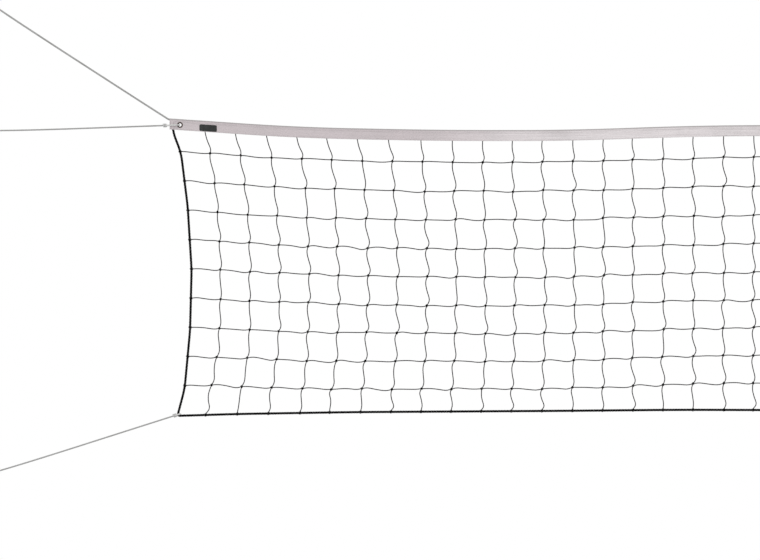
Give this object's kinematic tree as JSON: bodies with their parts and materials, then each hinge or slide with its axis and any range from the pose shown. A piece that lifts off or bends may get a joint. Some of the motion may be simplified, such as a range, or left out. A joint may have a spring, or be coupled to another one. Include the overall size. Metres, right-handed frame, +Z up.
{
  "type": "volleyball net",
  "caption": "Full-width court net of knotted square mesh with a fabric headband, border ropes, eyelets and tie ropes ending in loops.",
  "frame": {"origin": "centre of the hook that the left head rope's end loop goes over", "axes": "+X along the net from its left end to its right end as the viewer sees it, -Y towards the viewer, +Z up"},
  "size_m": [10.8176, 0.021, 1.6476],
  "materials": {
    "headband_tape": "woven off-white tape, slightly pink grey, sewn with lines of stitches along it",
    "label_cloth": "plain dark woven patch",
    "eyelet_metal": "dark bronzed metal",
    "white_rope": "braided off-white cord",
    "black_rope": "laid black rope",
    "netting_twine": "twisted charcoal twine, knotted"
  },
  "bodies": {
    "net": {"headband": "headband_tape", "label_patch": "label_cloth", "eyelet_left": "eyelet_metal", "eyelet_right": "eyelet_metal", "eyelet_washer_left": "eyelet_metal", "eyelet_washer_right": "eyelet_metal", "head_rope": "white_rope", "head_rope_tail_left": "white_rope", "head_rope_tail_right": "white_rope", "head_rope_knots": "white_rope", "side_rope_left": "black_rope", "side_rope_right": "black_rope", "bottom_rope": "black_rope", "netting_rows": "netting_twine", "netting_columns": "netting_twine", "netting_knots": "netting_twine", "row_hitches_left": "netting_twine", "row_hitches_right": "netting_twine", "bottom_hitches": "netting_twine"},
    "eyelet_tie_left": {"eyelet_rope_left": "white_rope", "eyelet_rope_knots_left": "white_rope"},
    "eyelet_tie_right": {"eyelet_rope_right": "white_rope", "eyelet_rope_knots_right": "white_rope"},
    "corner_tie_left": {"corner_rope_left": "white_rope", "corner_rope_knots_left": "white_rope"},
    "corner_tie_right": {"corner_rope_right": "white_rope", "corner_rope_knots_right": "white_rope"}
  },
  "joints": [
    {"name": "eyelet_tie_left_swing", "type": "hinge", "parent": "net", "child": "eyelet_tie_left", "pos_m": [0.6895, 0, -0.4388], "axis": [0, 1, 0], "range_deg": [-20, 12]},
    {"name": "eyelet_tie_right_swing", "type": "hinge", "parent": "net", "child": "eyelet_tie_right", "pos_m": [10.0965, 0, -0.4388], "axis": [0, -1, 0], "range_deg": [-20, 12]},
    {"name": "corner_tie_left_swing", "type": "hinge", "parent": "net", "child": "corner_tie_left", "pos_m": [0.69058, 0, -1.39728], "axis": [0, 1, 0], "range_deg": [-15, 30]},
    {"name": "corner_tie_right_swing", "type": "hinge", "parent": "net", "child": "corner_tie_right", "pos_m": [10.09543, 0, -1.39728], "axis": [0, -1, 0], "range_deg": [-15, 30]}
  ]
}
